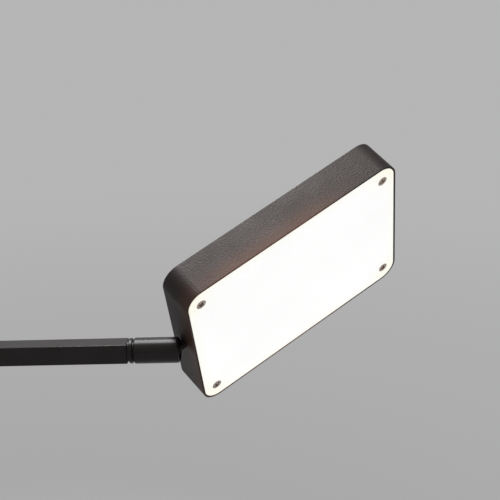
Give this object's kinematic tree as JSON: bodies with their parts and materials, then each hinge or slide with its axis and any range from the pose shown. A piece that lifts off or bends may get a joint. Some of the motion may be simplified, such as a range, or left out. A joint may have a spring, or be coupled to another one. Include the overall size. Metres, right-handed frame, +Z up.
{
  "type": "piano lamp",
  "caption": "Piano lamp with a flat rounded-rectangle lit head on a round swivel collar, square swinging arm, square stem and weighted base with a push switch.",
  "frame": {"origin": "centre of the underside of the base", "axes": "+Z up, +X along the arm towards the head, +Y to the rear of the base, where the cord inlet is"},
  "size_m": [0.4345, 0.1861, 0.3963],
  "materials": {
    "powder_coat": "fine grained powder coat",
    "satin_black": "satin black lacquer",
    "opal_plate": "opal, lit from behind",
    "dark_screw": "dark bronze plating",
    "bright_steel": "zinc plated",
    "weight_steel": "rolled, oiled",
    "black_rubber": "matt",
    "plain_aluminium": "rolled",
    "white_board": "white solder mask",
    "green_board": "green solder mask",
    "lamp_yellow": "phosphor yellow",
    "white_plastic": "moulded",
    "nylon": "natural nylon",
    "black_plastic": "moulded",
    "brass_post": "turned"
  },
  "bodies": {
    "base": {"base_plate": "weight_steel", "base_cover": "powder_coat", "foot_pad": "black_rubber", "cover_screws": "bright_steel", "stem_tube": "satin_black", "stem_foot": "satin_black", "stem_spacer": "bright_steel", "stem_washer": "bright_steel", "stem_nut": "bright_steel", "stem_top_plug": "satin_black", "swing_ring": "satin_black", "switch_body": "black_plastic", "driver_board": "green_board", "board_posts": "brass_post", "driver_screws": "bright_steel", "driver_parts": "black_plastic", "cord_gland": "black_plastic", "gland_nut": "black_plastic", "button_spring": "bright_steel"},
    "button": {"button_cap": "black_plastic"},
    "stem_head": {"swing_hub": "satin_black", "swing_washer": "bright_steel", "swing_nut": "bright_steel", "elbow_bolt": "dark_screw", "elbow_nut": "dark_screw"},
    "arm": {"arm_tube": "satin_black", "arm_root_tongue": "satin_black", "elbow_washers": "nylon", "arm_end_plug": "satin_black", "swivel_ring": "satin_black"},
    "collar": {"collar_sleeve": "satin_black", "knuckle_core": "satin_black", "tilt_pin": "bright_steel", "friction_shoe": "nylon", "shoe_spring": "bright_steel", "swivel_washer": "bright_steel", "swivel_nut": "bright_steel"},
    "head": {"head_housing": "powder_coat", "diffuser_plate": "opal_plate", "diffuser_screws": "dark_screw", "face_gasket": "black_rubber", "reflector_frame": "white_plastic", "led_board": "white_board", "led_chips": "lamp_yellow", "board_screws": "bright_steel", "heat_spreader": "plain_aluminium", "wire_connector": "white_plastic", "tilt_bracket": "satin_black", "bracket_screws": "bright_steel"}
  },
  "joints": [
    {"name": "switch_push", "type": "slide", "parent": "base", "child": "button", "axis": [0, 0, -1], "range_m": [0, 0.0015], "stiffness_N_per_m": 900, "springref_m": -0.001, "deforming": ["button_spring"]},
    {"name": "arm_swing", "type": "hinge", "parent": "base", "child": "stem_head", "pos_m": [-0.06, 0, 0.29], "axis": [0, 0, 1], "range_deg": [-170, 170]},
    {"name": "arm_lift", "type": "hinge", "parent": "stem_head", "child": "arm", "pos_m": [-0.06, 0, 0.29], "axis": [0, -1, 0], "range_deg": [-20, 50]},
    {"name": "head_twist", "type": "hinge", "parent": "arm", "child": "collar", "pos_m": [0.2, 0, 0.29], "axis": [1, 0, 0], "range_deg": [-120, 229]},
    {"name": "head_tilt", "type": "hinge", "parent": "collar", "child": "head", "pos_m": [0.2, 0, 0.29], "axis": [0, 0.5764, -0.8171], "range_deg": [0, 78]}
  ]
}
